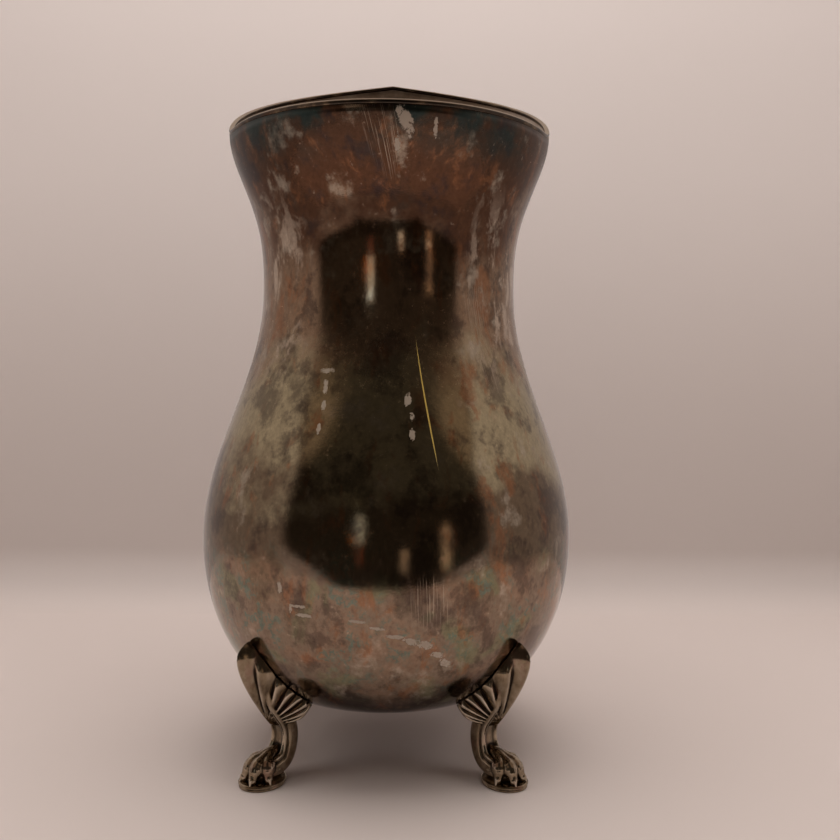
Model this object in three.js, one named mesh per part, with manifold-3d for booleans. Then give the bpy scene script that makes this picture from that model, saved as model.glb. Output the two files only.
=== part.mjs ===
// Silver-plated water pitcher on four paw feet, millimetres, +Z up.
// The mouth's pouring lip points to -Y, the raised back and the handle to +Y.
// Each piece is designed round the body's own axis; the last group moves the whole so that the
// origin is the centre of the bounding box's underside.
import * as THREE from 'three';
import { mergeVertices } from 'three/addons/utils/BufferGeometryUtils.js';
import Module from 'manifold-3d';

const wasm = await Module();
wasm.setup();

// Gap left between pieces that are soldered together.
const SOLDER_GAP = 0.3;

// Body: outer sizes of the spun shell.
const WALL = 1.5;
const BASE_HEIGHT = 20.7;
const BASE_RADIUS = 30;
const BASE_DISC_RADIUS = 26;
const BELLY_HEIGHT = 72;
const BELLY_RADIUS = 62.8;
const WAIST_HEIGHT = 156;
const WAIST_RADIUS = 42.7;
const MOUTH_RADIUS = 53.9;
const RIM_TOP_HEIGHT = 206.6;
const RIM_WIRE_RADIUS = 0.85;
const FLARE_DELAY = 1.5;

// Mouth: how the back rises to a point and the front reaches out to pour.
const BACK_RISE = 36.2;
const BACK_SPREAD = THREE.MathUtils.degToRad(105);
const BACK_POINTEDNESS = 0.35;
const BACK_EASE = 0.12;
const BACK_LEAN = 1.5;
const LIP_REACH = 7;
const LIP_DROP = 1.8;
const LIP_SPREAD = THREE.MathUtils.degToRad(30);

// Feet: sizes along the foot's own radius (outwards) and upwards.
const FOOT_COUNT = 4;
const PAW_RADIUS = 53.6;
const PLINTH_LENGTH = 15.6;
const PLINTH_WIDTH = 13.6;
const PLINTH_THICKNESS = 1.8;
const PAW_HEIGHT = 9.4;
const TOE_TURNS = [-76, -22, 22, 76];
const TOE_RADIUS = 2.15;
const TOE_REACH = 5.3;
const PALM_CENTRE_HEIGHT = 4.6;
const ANKLE_RADIUS = 45;
const ANKLE_HEIGHT = 15;
const LEG_WIDTH = 9.4;
const LEG_THICKNESS = 7.2;
const LEG_WAISTING = 0.1;
const FAN_ROOT_HEIGHT = 23.8;
const FAN_LENGTH = 27;
const FAN_SIDE_LENGTH = 10;
const FAN_BOTTOM_LENGTH = 4;
const FAN_POINTEDNESS = THREE.MathUtils.degToRad(20);
const FAN_BULGE = 8.6;
const FAN_EDGE = 1.9;
const FAN_KEEL_ANGLE = THREE.MathUtils.degToRad(6.5);
const FAN_LOBE_CROWDING = 0.9;
const FAN_INFLATION = 0.75;
const FAN_ROUNDNESS = 0.65;
const FAN_LOBE_DEPTH = 1.4;
const FAN_SCALLOP = 0.04;

// Handle: a scroll in the plane of the lip, from under the back's point to the shoulder.
const HANDLE_TOP_DROP = 12;
const HANDLE_FOOT_HEIGHT = 108;
const HANDLE_REACH = 46;
const HANDLE_WIDTH = 12.5;
const HANDLE_THICKNESS = 8.5;
const HANDLE_END_SIZE = 0.72;
const SCROLL_ROOT_SIZE = 0.75;
const SCROLL_TIP_SIZE = 0.4;
// Routes of the handle's curves: [share of HANDLE_REACH outwards, share of the handle's rise
// upwards], from the top seat for the grip and the thumb scroll, from the lower seat for its end.
const GRIP_ROUTE = [
  [-0.09, -0.02], [0.22, 0.04], [0.55, 0.06], [0.88, -0.07], [1, -0.27], [0.88, -0.52], [0.58, -0.78],
];
const GRIP_END = [[0.17, 0.025], [-0.09, -0.01]];
// The tail curl leaves the grip at this share of the grip's curve; its route is measured from there.
const TAIL_JOIN = 0.738;
const TAIL_ROUTE = [[0.016, -0.003], [-0.024, -0.143], [0.056, -0.233], [0.216, -0.213], [0.196, -0.133]];
const THUMB_ROUTE = [[0.72, 0.025], [0.92, 0.04], [1.04, -0.01], [0.98, -0.05]];
const MOUNT_HALF_WIDTH = 9;
const MOUNT_HALF_HEIGHT = 13;
const MOUNT_THICKNESS = 4;

const ROUND_SEGMENTS = 64;
const FAN_SEGMENTS = 96;

const silver = (color, roughness) => new THREE.MeshStandardMaterial({ color, roughness, metalness: 1 });
const BODY_SILVER = silver(0x6d6254, 0.28);
const RIM_SILVER = silver(0x8a8174, 0.3);
const FOOT_SILVER = silver(0x8f8271, 0.36);
const HANDLE_SILVER = silver(0x857a6a, 0.34);

// ---- solids ---------------------------------------------------------------------------------

// Joins the vertices along a geometry's seams and poles, leaving a closed mesh.
function weld(geometry) {
  const bare = geometry.clone();
  bare.deleteAttribute('normal');
  bare.deleteAttribute('uv');
  return mergeVertices(bare, 1e-4);
}

function toSolid(geometry) {
  const merged = weld(geometry);
  return new wasm.Manifold(new wasm.Mesh({
    numProp: 3,
    vertProperties: new Float32Array(merged.attributes.position.array),
    triVerts: new Uint32Array(merged.index.array),
  }));
}

function toGeometry(solid) {
  const mesh = solid.getMesh();
  const geometry = new THREE.BufferGeometry();
  geometry.setAttribute('position', new THREE.BufferAttribute(new Float32Array(mesh.vertProperties), 3));
  geometry.setIndex(new THREE.BufferAttribute(new Uint32Array(mesh.triVerts), 1));
  return geometry;
}

const joinAll = (solids) => solids.reduce((joined, next) => joined.add(next));

// Welds a geometry, then moves every vertex of it to move(vertex).
function reshape(source, move) {
  const geometry = weld(source);
  const position = geometry.attributes.position;
  const vertex = new THREE.Vector3();
  for (let i = 0; i < position.count; i += 1) {
    vertex.fromBufferAttribute(position, i);
    const moved = move(vertex);
    position.setXYZ(i, moved.x, moved.y, moved.z);
  }
  return geometry;
}

// A LatheGeometry turned so that its axis is +Z and its first point faces -Y.
const turnedOnZ = (points) => new THREE.LatheGeometry(points, ROUND_SEGMENTS).rotateX(Math.PI / 2);

// A rod of oval section along a curve in the plane of +X (out) and +Z (up); sizes are half sizes.
function bentRod(curve, halfWidthAt, halfThicknessAt, sides = 12, steps = 28) {
  const across = new THREE.Vector3(0, 1, 0);
  return reshape(new THREE.CylinderGeometry(1, 1, 1, sides, steps), (vertex) => {
    const along = THREE.MathUtils.clamp(vertex.y + 0.5, 0, 1);
    const tangent = curve.getTangentAt(along);
    const normal = new THREE.Vector3().crossVectors(across, tangent);
    return curve.getPointAt(along)
      .addScaledVector(across, vertex.x * halfWidthAt(along))
      .addScaledVector(normal, vertex.z * halfThicknessAt(along));
  });
}

const curveThrough = (points) => new THREE.CatmullRomCurve3(
  points.map(([out, up]) => new THREE.Vector3(out, 0, up)), false, 'centripetal');

// ---- body outline and mouth -------------------------------------------------------------------

const SHELL_TOP = RIM_TOP_HEIGHT - 2 * RIM_WIRE_RADIUS - SOLDER_GAP;

// Outer radius at a height, before the mouth is drawn out: a quarter ellipse up to the belly, a
// cosine wave in to the waist, and a delayed one out to the mouth.
function outerRadius(height) {
  if (height <= BELLY_HEIGHT) {
    const share = (BELLY_HEIGHT - height) / (BELLY_HEIGHT - BASE_HEIGHT);
    return BASE_RADIUS + (BELLY_RADIUS - BASE_RADIUS) * Math.sqrt(Math.max(0, 1 - share * share));
  }
  if (height <= WAIST_HEIGHT) {
    const share = (height - BELLY_HEIGHT) / (WAIST_HEIGHT - BELLY_HEIGHT);
    return THREE.MathUtils.lerp(BELLY_RADIUS, WAIST_RADIUS, (1 - Math.cos(Math.PI * share)) / 2);
  }
  const share = ((height - WAIST_HEIGHT) / (SHELL_TOP - WAIST_HEIGHT)) ** FLARE_DELAY;
  return THREE.MathUtils.lerp(WAIST_RADIUS, MOUTH_RADIUS, (1 - Math.cos(Math.PI * share)) / 2);
}

function outerOutline() {
  const points = [];
  const bowlSteps = 9;
  for (let i = 0; i <= bowlSteps; i += 1) {
    const turn = (i / bowlSteps) * (Math.PI / 2);
    points.push(new THREE.Vector2(
      BASE_RADIUS + (BELLY_RADIUS - BASE_RADIUS) * Math.sin(turn),
      BELLY_HEIGHT - (BELLY_HEIGHT - BASE_HEIGHT) * Math.cos(turn)));
  }
  const wallSteps = 18;
  for (let i = 1; i <= wallSteps; i += 1) {
    const height = THREE.MathUtils.lerp(BELLY_HEIGHT, SHELL_TOP, i / wallSteps);
    points.push(new THREE.Vector2(outerRadius(height), height));
  }
  return points;
}

// The outline moved square to itself; positive is outwards.
function offsetOutline(points, distance) {
  return points.map((point, i) => {
    const before = points[Math.max(i - 1, 0)];
    const after = points[Math.min(i + 1, points.length - 1)];
    const along = after.clone().sub(before).normalize();
    return new THREE.Vector2(point.x + along.y * distance, point.y - along.x * distance);
  });
}

function backShare(angleFromBack) {
  const share = Math.abs(angleFromBack) / BACK_SPREAD;
  const shape = (1 - BACK_POINTEDNESS) * Math.cos((share * Math.PI) / 2) + BACK_POINTEDNESS * (1 - share);
  if (shape > BACK_EASE) return shape;
  return shape < -BACK_EASE ? 0 : (shape + BACK_EASE) ** 2 / (4 * BACK_EASE);
}

const lipShare = (angleFromFront) => Math.exp(-((angleFromFront / LIP_SPREAD) ** 2));

// Draws the mouth out: raises the back, and pulls the lip forwards and down.
function drawMouth(vertex) {
  const radius = Math.hypot(vertex.x, vertex.y);
  const fromFront = Math.atan2(vertex.x, -vertex.y);
  const fromBack = Math.atan2(vertex.x, vertex.y);
  const share = THREE.MathUtils.clamp((vertex.z - WAIST_HEIGHT) / (SHELL_TOP - WAIST_HEIGHT), 0, 1.2);
  const nearAxis = Math.min(1, radius / (WAIST_RADIUS / 2));
  const lip = lipShare(fromFront);
  const back = backShare(fromBack);
  const rise = BACK_RISE * back - LIP_DROP * lip;
  const reach = (LIP_REACH * lip + BACK_LEAN * back ** 2) * share ** 3 * nearAxis;
  const scale = radius > 0 ? (radius + reach) / radius : 1;
  return new THREE.Vector3(vertex.x * scale, vertex.y * scale, vertex.z + rise * share * share * nearAxis);
}

function bodyShell() {
  const outer = outerOutline();
  const inner = offsetOutline(outer, -WALL);
  inner[inner.length - 1].set(MOUTH_RADIUS - WALL, SHELL_TOP);
  const edge = BASE_DISC_RADIUS + SOLDER_GAP;
  const closed = [
    new THREE.Vector2(edge, BASE_HEIGHT),
    ...outer,
    ...inner.reverse(),
    new THREE.Vector2(edge, BASE_HEIGHT + WALL),
    new THREE.Vector2(edge, BASE_HEIGHT),
  ];
  return reshape(turnedOnZ(closed), drawMouth);
}

// The filled body, grown by a gap: what the soldered-on pieces are cut by.
function bodyCutter() {
  const grown = offsetOutline(outerOutline(), SOLDER_GAP);
  const top = grown[grown.length - 1];
  const closed = [
    new THREE.Vector2(0, grown[0].y),
    ...grown,
    new THREE.Vector2(top.x, top.y + 2 * RIM_WIRE_RADIUS),
    new THREE.Vector2(0, top.y + 2 * RIM_WIRE_RADIUS),
  ];
  return toSolid(reshape(turnedOnZ(closed), drawMouth));
}

function baseDisc() {
  return turnedOnZ([
    new THREE.Vector2(0, BASE_HEIGHT),
    new THREE.Vector2(BASE_DISC_RADIUS, BASE_HEIGHT),
    new THREE.Vector2(BASE_DISC_RADIUS, BASE_HEIGHT + WALL),
    new THREE.Vector2(0, BASE_HEIGHT + WALL),
  ]);
}

// Half-round wire that caps the shell's cut edge all round the mouth.
function rimWire() {
  const ring = MOUTH_RADIUS - WALL / 2;
  const level = RIM_TOP_HEIGHT - RIM_WIRE_RADIUS;
  return reshape(new THREE.TorusGeometry(ring, RIM_WIRE_RADIUS, 8, ROUND_SEGMENTS), (vertex) => {
    const around = Math.atan2(vertex.y, vertex.x);
    const radius = Math.hypot(vertex.x, vertex.y);
    const spine = drawMouth(new THREE.Vector3(ring * Math.cos(around), ring * Math.sin(around), SHELL_TOP));
    const spineRadius = Math.hypot(spine.x, spine.y) + radius - ring;
    return new THREE.Vector3(
      spineRadius * Math.cos(around),
      spineRadius * Math.sin(around),
      spine.z + level - SHELL_TOP + vertex.z);
  });
}

// ---- foot, pointing along +X ------------------------------------------------------------------

// Length of the fan from its root to its edge, by angle from straight up.
function fanLength(turn) {
  const quarter = Math.PI / 2;
  if (turn > quarter) return THREE.MathUtils.lerp(FAN_SIDE_LENGTH, FAN_BOTTOM_LENGTH, turn / quarter - 1);
  return FAN_SIDE_LENGTH + (FAN_LENGTH - FAN_SIDE_LENGTH) * Math.exp(-((turn / FAN_POINTEDNESS) ** 1.2));
}

// The knee is a keeled fan of lobes that lies on the bowl and narrows down to the leg.
function kneeFan() {
  const middle = FAN_ROOT_HEIGHT + FAN_LENGTH / 3;
  const reach = FAN_SIDE_LENGTH / 2;
  const widening = outerRadius(middle + reach) - outerRadius(middle - reach);
  const slope = new THREE.Vector2(widening, 2 * reach).normalize();
  const up = new THREE.Vector3(slope.x, 0, slope.y);
  const out = new THREE.Vector3(slope.y, 0, -slope.x);
  const side = new THREE.Vector3(0, 1, 0);
  const root = new THREE.Vector3(outerRadius(middle), 0, middle)
    .addScaledVector(up, (FAN_ROOT_HEIGHT - middle) / slope.y);
  return reshape(new THREE.SphereGeometry(1, FAN_SEGMENTS, FAN_SEGMENTS / 12), (vertex) => {
    const turn = Math.atan2(-vertex.x, vertex.z);
    const flat = Math.hypot(vertex.x, vertex.z);
    const lobe = Math.abs(Math.cos((Math.PI / 2) * (Math.abs(turn) / FAN_KEEL_ANGLE) ** FAN_LOBE_CROWDING));
    const length = fanLength(Math.abs(turn)) * (1 - FAN_SCALLOP * (1 - lobe));
    const sideways = flat * length * Math.sin(turn);
    const keel = Math.max(0, 1 - Math.abs(sideways) / FAN_SIDE_LENGTH) ** FAN_INFLATION;
    const bulge = FAN_EDGE + (FAN_BULGE - FAN_EDGE) * keel;
    const dome = Math.sign(vertex.y) * Math.abs(vertex.y) ** FAN_ROUNDNESS;
    const sag = sideways ** 2 / (2 * BELLY_RADIUS);
    return root.clone()
      .addScaledVector(side, sideways)
      .addScaledVector(up, flat * length * Math.cos(turn))
      .addScaledVector(out, dome * bulge - FAN_LOBE_DEPTH * (1 - lobe) * flat - sag);
  });
}

function leg() {
  const fanMiddle = FAN_ROOT_HEIGHT + FAN_LENGTH / 3;
  const spine = curveThrough([
    [outerRadius(fanMiddle) + 1, fanMiddle],
    [outerRadius(FAN_ROOT_HEIGHT + 4) + 4, FAN_ROOT_HEIGHT + 2],
    [ANKLE_RADIUS + 0.8, ANKLE_HEIGHT + 3],
    [ANKLE_RADIUS, ANKLE_HEIGHT - 3],
    [ANKLE_RADIUS + 2.2, PAW_HEIGHT / 2 + 2],
    [PAW_RADIUS, PAW_HEIGHT / 2],
  ]);
  const waisted = (along) => 1 - LEG_WAISTING * Math.sin(Math.PI * along);
  return bentRod(
    spine,
    (along) => (LEG_WIDTH / 2) * waisted(along),
    (along) => (LEG_THICKNESS / 2) * waisted(along),
    12, 20);
}

function oval(halfLength, halfWidth, halfHeight, radius, across, height) {
  return new THREE.SphereGeometry(1, 12, 7)
    .scale(halfLength, halfWidth, halfHeight)
    .translate(radius, across, height);
}

function paw() {
  const palm = oval(
    PLINTH_LENGTH * 0.42, PLINTH_WIDTH * 0.38, PAW_HEIGHT - PALM_CENTRE_HEIGHT,
    PAW_RADIUS - 1, 0, PALM_CENTRE_HEIGHT);
  const toes = TOE_TURNS.map((degrees) => {
    const turn = THREE.MathUtils.degToRad(degrees);
    return oval(
      TOE_RADIUS * 1.2, TOE_RADIUS, TOE_RADIUS * 1.25,
      PAW_RADIUS + TOE_REACH * Math.cos(turn), TOE_REACH * 0.88 * Math.sin(turn),
      PLINTH_THICKNESS + TOE_RADIUS);
  });
  return [palm, ...toes];
}

function plinth() {
  return new THREE.CylinderGeometry(1, 1, PLINTH_THICKNESS, 28)
    .rotateX(Math.PI / 2)
    .scale(PLINTH_LENGTH / 2, PLINTH_WIDTH / 2, 1)
    .translate(PAW_RADIUS, 0, PLINTH_THICKNESS / 2);
}

function foot(cutter) {
  const pieces = [kneeFan(), leg(), plinth(), ...paw()];
  return toGeometry(joinAll(pieces.map(toSolid)).subtract(cutter));
}

// ---- handle, in the plane of +Y and +Z, drawn first along +X ------------------------------------

// Outer surface of the drawn body, right at the back, for a height on the undrawn outline.
const backPoint = (height) => drawMouth(new THREE.Vector3(0, outerRadius(height), height));

const BACK_TOP = backPoint(SHELL_TOP);
const HANDLE_TOP = new THREE.Vector2(BACK_TOP.y, BACK_TOP.z - HANDLE_TOP_DROP);
const HANDLE_FOOT = new THREE.Vector2(outerRadius(HANDLE_FOOT_HEIGHT), HANDLE_FOOT_HEIGHT);
const handleRise = HANDLE_TOP.y - HANDLE_FOOT.y;

// The grip, its tail curl and the thumb scroll; extra thickens all of them to make a cutter.
function handleRods(extra) {
  const from = (seat) => ([out, up]) => [seat.x + HANDLE_REACH * out, seat.y + handleRise * up];
  const grip = curveThrough([...GRIP_ROUTE.map(from(HANDLE_TOP)), ...GRIP_END.map(from(HANDLE_FOOT))]);
  const onGrip = grip.getPoint(TAIL_JOIN);
  const tail = curveThrough(TAIL_ROUTE.map(from(new THREE.Vector2(onGrip.x, onGrip.z))));
  const thumb = curveThrough(THUMB_ROUTE.map(from(HANDLE_TOP)));
  const swelling = (along) => THREE.MathUtils.lerp(HANDLE_END_SIZE, 1, Math.sin(Math.PI * along));
  const fading = (along) => THREE.MathUtils.lerp(SCROLL_ROOT_SIZE, SCROLL_TIP_SIZE, along);
  const halfWidth = HANDLE_WIDTH / 2;
  const halfThickness = HANDLE_THICKNESS / 2;
  return [
    [grip, swelling, 12, 44],
    [tail, fading, 10, 16],
    [thumb, fading, 10, 12],
  ].map(([curve, size, sides, steps]) => toSolid(bentRod(
    curve,
    (along) => halfWidth * size(along) + extra,
    (along) => halfThickness * size(along) + extra,
    sides, steps)).rotate([0, 0, 90]));
}

function handle(cutter) {
  return toGeometry(joinAll(handleRods(0)).subtract(cutter));
}

// A domed leaf soldered on the body round one end of the handle.
function handleMount(height, cutter) {
  const low = backPoint(height - 3);
  const high = backPoint(height + 3);
  const lean = Math.atan2(high.y - low.y, high.z - low.z);
  const seat = backPoint(height);
  const dome = new THREE.SphereGeometry(1, 28, 14)
    .scale(MOUNT_HALF_WIDTH, MOUNT_THICKNESS, MOUNT_HALF_HEIGHT)
    .rotateX(-lean)
    .translate(0, seat.y, seat.z);
  return toGeometry(toSolid(dome).subtract(cutter).subtract(joinAll(handleRods(SOLDER_GAP))));
}

// Undrawn height whose place at the back ends up at a wanted height.
function undrawnHeight(wanted) {
  let low = WAIST_HEIGHT;
  let high = SHELL_TOP;
  for (let i = 0; i < 40; i += 1) {
    const middle = (low + high) / 2;
    if (backPoint(middle).z < wanted) low = middle;
    else high = middle;
  }
  return (low + high) / 2;
}

// ---- assembly -----------------------------------------------------------------------------------

function piece(name, geometry, material, turn = 0) {
  const mesh = new THREE.Mesh(geometry, material);
  mesh.name = name;
  mesh.rotation.z = turn;
  return mesh;
}

const cutter = bodyCutter();
const pitcher = new THREE.Group();
pitcher.add(piece('body_shell', bodyShell(), BODY_SILVER));
pitcher.add(piece('base_disc', baseDisc(), BODY_SILVER));
pitcher.add(piece('rim_wire', rimWire(), RIM_SILVER));

const footGeometry = foot(cutter);
['foot_back_right', 'foot_back_left', 'foot_front_left', 'foot_front_right'].forEach((name, i) => {
  const turn = ((i + 0.5) * 2 * Math.PI) / FOOT_COUNT;
  pitcher.add(piece(name, footGeometry, FOOT_SILVER, turn));
});

pitcher.add(piece('handle', handle(cutter), HANDLE_SILVER));
pitcher.add(piece('handle_upper_mount', handleMount(undrawnHeight(HANDLE_TOP.y), cutter), HANDLE_SILVER));
pitcher.add(piece('handle_lower_mount', handleMount(HANDLE_FOOT_HEIGHT, cutter), HANDLE_SILVER));

const size = new THREE.Box3().setFromObject(pitcher);
pitcher.position.set(0, -(size.min.y + size.max.y) / 2, -size.min.z);

const group = new THREE.Group();
group.name = 'water_pitcher';
group.add(pitcher);

export default group;
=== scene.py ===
from math import atan2, cos, exp, hypot, pi, radians, sin, sqrt

import bmesh
import bpy
from mathutils import Matrix, Vector


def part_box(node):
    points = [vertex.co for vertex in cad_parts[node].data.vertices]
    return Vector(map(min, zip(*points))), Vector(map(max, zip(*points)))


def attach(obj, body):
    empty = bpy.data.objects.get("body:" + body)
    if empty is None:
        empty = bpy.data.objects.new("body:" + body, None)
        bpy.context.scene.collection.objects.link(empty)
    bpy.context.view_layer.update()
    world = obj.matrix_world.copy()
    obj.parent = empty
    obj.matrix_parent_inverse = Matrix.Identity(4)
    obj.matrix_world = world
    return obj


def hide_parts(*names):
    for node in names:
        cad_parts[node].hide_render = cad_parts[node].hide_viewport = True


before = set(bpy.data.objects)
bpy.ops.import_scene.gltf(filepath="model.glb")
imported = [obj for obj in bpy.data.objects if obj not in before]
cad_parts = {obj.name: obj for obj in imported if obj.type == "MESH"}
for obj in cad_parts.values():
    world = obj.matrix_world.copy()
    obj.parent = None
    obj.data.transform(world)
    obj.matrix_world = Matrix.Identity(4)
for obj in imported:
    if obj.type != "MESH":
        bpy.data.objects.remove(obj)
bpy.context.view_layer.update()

# ---- Where the pitcher stands ----------------------------------------------------------------
# The bottom disc is round, so its middle is the axis that the body was spun about. Everything
# is worked out round that axis, with the pouring lip towards -Y and the handle towards +Y.
disc_low, disc_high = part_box("base_disc")
AXIS_Y = (disc_low[1] + disc_high[1]) / 2


def from_axis(x, y, z):
    """A place given from the foot of the body's axis."""
    return Vector((x, y + AXIS_Y, z))


# ---- Camera ----------------------------------------------------------------------------------
# A phone's main camera held close to the pitcher, a little above half of its height, level with
# the lower neck. It is turned slightly so that the pitcher stands left of the middle.
CAMERA_DISTANCE = 0.320
CAMERA_HEIGHT = 0.1293
CAMERA_ROUND = radians(1.0)
CAMERA_TURN = radians(1.98)
CAMERA_DOWN = radians(3.1)
CAMERA_ROLL = radians(0.5)
SENSOR_WIDTH = 36
LENS = 39.43

camera = bpy.data.objects.new("camera", bpy.data.cameras.new("camera"))
camera.data.sensor_width = SENSOR_WIDTH
camera.data.lens = LENS
camera.location = from_axis(
    CAMERA_DISTANCE * sin(CAMERA_ROUND), -CAMERA_DISTANCE * cos(CAMERA_ROUND), CAMERA_HEIGHT)
camera.rotation_euler = (
    Matrix.Rotation(CAMERA_ROUND - CAMERA_TURN, 3, "Z")
    @ Matrix.Rotation(pi / 2 - CAMERA_DOWN, 3, "X")
    @ Matrix.Rotation(CAMERA_ROLL, 3, "Z")).to_euler()
bpy.context.scene.collection.objects.link(camera)
bpy.context.scene.camera = camera
bpy.context.scene.view_settings.view_transform = "Standard"


# ---- Light tent ------------------------------------------------------------------------------
# The pitcher stands in a pale fabric tent that is open at the front. The polished metal mirrors
# the dark room through that opening, with three tall windows in it.
def node(tree, kind, inputs=None, output=0, **settings):
    """Adds a shader node, fills its inputs with values or other outputs, and returns an output."""
    made = tree.nodes.new("ShaderNode" + kind)
    for name, value in settings.items():
        setattr(made, name, value)
    for key, value in (inputs or {}).items():
        if isinstance(value, bpy.types.NodeSocket):
            tree.links.new(value, made.inputs[key])
        else:
            made.inputs[key].default_value = value
    return made.outputs[output] if len(made.outputs) else None


def calc(tree, operation, a, b=0.0):
    """One sum on numbers."""
    return node(tree, "Math", {0: a, 1: b}, operation=operation)


def ease(tree, value, low, high, at_low=0.0, at_high=1.0):
    """Goes smoothly from at_low to at_high as value goes from low to high."""
    return node(tree, "MapRange", {0: value, 1: low, 2: high, 3: at_low, 4: at_high},
                interpolation_type="SMOOTHSTEP")


def band(tree, value, low, high, soft):
    """1 while value is between low and high, with soft edges."""
    rising = ease(tree, value, low - soft, low + soft)
    falling = ease(tree, value, high - soft, high + soft, 1.0, 0.0)
    return calc(tree, "MULTIPLY", rising, falling)


def blend(tree, share, first, second):
    """Mixes two colours; share 0 is the first."""
    return node(tree, "Mix", {0: share, 6: first, 7: second}, output=2, data_type="RGBA")


TENT_COLOUR = (0.40, 0.335, 0.31, 1)
TENT_ROOF_COLOUR = (0.56, 0.475, 0.43, 1)
FOLD_COLOUR = (0.25, 0.18, 0.135, 1)
BACKDROP_COLOUR = (0.64, 0.53, 0.48, 1)
ROOM_COLOUR = (0.044, 0.035, 0.027, 1)
FOLD_LEAN = 1.6
WINDOWS = (  # middle, half width, lowest, highest, in degrees, and the light through it
    (-15.5, 2.4, 2, 14, (1.05, 1.12, 1.08, 1)), (-15.5, 1.6, -9, 1, (0.30, 0.13, 0.09, 1)),
    (-19.5, 0.9, 2, 6, (1.30, 0.42, 0.08, 1)), (11, 1.6, -13, -1, (1.10, 0.88, 0.68, 1)),
    (36, 2.0, -12, 9, (0.95, 0.70, 0.50, 1)))

world = bpy.data.worlds.new("light_tent")
bpy.context.scene.world = world
world.use_nodes = True
sky = world.node_tree
sky.nodes.clear()
towards = node(sky, "SeparateXYZ", {0: node(sky, "TexCoord")})
look = towards.node.outputs
ahead_of_pitcher = calc(sky, "MULTIPLY", look[1], -1.0)
round_from_front = calc(sky, "ARCTAN2", look[0], ahead_of_pitcher)
above_level = calc(sky, "ARCSINE", look[2])
sideways = calc(sky, "ABSOLUTE", round_from_front)
# the opening narrows towards the tent's roof, and its lower corners are rounded
half_opening = calc(sky, "MINIMUM",
                    ease(sky, above_level, radians(12), radians(50), radians(72), radians(26)),
                    ease(sky, above_level, radians(-20), radians(0), radians(30), radians(62)))
inside_opening = calc(sky, "SUBTRACT", half_opening, sideways)
opening = calc(sky, "MULTIPLY", ease(sky, inside_opening, radians(-6), radians(3)),
               ease(sky, above_level, radians(-26), radians(-19)))
tent = blend(sky, ease(sky, above_level, radians(-5), radians(60)), TENT_COLOUR, TENT_ROOF_COLOUR)
# high up, each flap of the opening hangs in a fold, darker on its inner side
fold = calc(sky, "SUBTRACT", sideways, node(sky, "Math", {0: above_level, 1: FOLD_LEAN, 2: radians(20)},
                                            operation="MULTIPLY_ADD"))
upper = ease(sky, above_level, radians(14), radians(22))
inside_fold = calc(sky, "MULTIPLY", upper, ease(sky, fold, radians(0.6), radians(-0.6)))
fold_edge = calc(sky, "MULTIPLY", upper, band(sky, fold, radians(-1.2), radians(1.2), radians(0.8)))
tent = blend(sky, inside_fold, tent, FOLD_COLOUR)
tent = blend(sky, calc(sky, "MULTIPLY", fold_edge, 0.75), tent, ROOM_COLOUR)
surroundings = blend(sky, opening, tent, ROOM_COLOUR)
# each window is a pane of light with a thin bar up its middle
for middle, half_width, lowest, highest, light_colour in WINDOWS:
    glass = calc(
        sky, "MULTIPLY",
        band(sky, round_from_front, radians(middle - half_width), radians(middle + half_width), radians(0.5)),
        band(sky, above_level, radians(lowest), radians(highest), radians(0.8)))
    bar = band(sky, round_from_front, radians(middle - 0.3), radians(middle + 0.3), radians(0.2))
    surroundings = blend(sky, calc(sky, "SUBTRACT", glass, calc(sky, "MULTIPLY", glass, bar)),
                         surroundings, light_colour)
seen_straight = node(sky, "LightPath", output=0)
background = node(sky, "Background", {0: blend(sky, seen_straight, surroundings, BACKDROP_COLOUR), 1: 1.0})
node(sky, "OutputWorld", {0: background})


def stage_sheet(name, outline, left, right, mirrored):
    """A sheet of the studio: an outline in the plane of Y and Z, drawn out along X."""
    sheet = bmesh.new()
    ends = [sheet.verts.new(from_axis(left, y, z)) for y, z in outline]
    edges = [sheet.edges.new(pair) for pair in zip(ends, ends[1:])]
    drawn = bmesh.ops.extrude_edge_only(sheet, edges=edges)["geom"]
    across = [item for item in drawn if isinstance(item, bmesh.types.BMVert)]
    bmesh.ops.translate(sheet, verts=across, vec=(right - left, 0, 0))
    bmesh.ops.recalc_face_normals(sheet, faces=sheet.faces)
    if sum(face.normal.z - face.normal.y for face in sheet.faces) < 0:
        bmesh.ops.reverse_faces(sheet, faces=sheet.faces)
    made = bpy.data.objects.new(name, bpy.data.meshes.new(name))
    sheet.to_mesh(made.data)
    sheet.free()
    for polygon in made.data.polygons:
        polygon.use_smooth = True
    made.data.materials.append(cloth)
    made.visible_glossy = mirrored
    bpy.context.scene.collection.objects.link(made)


WALL_BACK = 0.19
COVE = 0.03
COVE_STEPS = 12
FLOOR_SPLIT = -0.235
FLOOR_SIDE = 0.42
STUDIO = 1.4
CLOTH_LOW = (0.70, 0.635, 0.61, 1)
CLOTH_HIGH = (0.88, 0.81, 0.785, 1)
CLOTH_FLOOR = (0.76, 0.685, 0.655, 1)
CREASE_SHADE = (0.45, 0.38, 0.34, 1)
LIGHT_COLOUR = (1.0, 0.95, 0.92)

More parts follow.
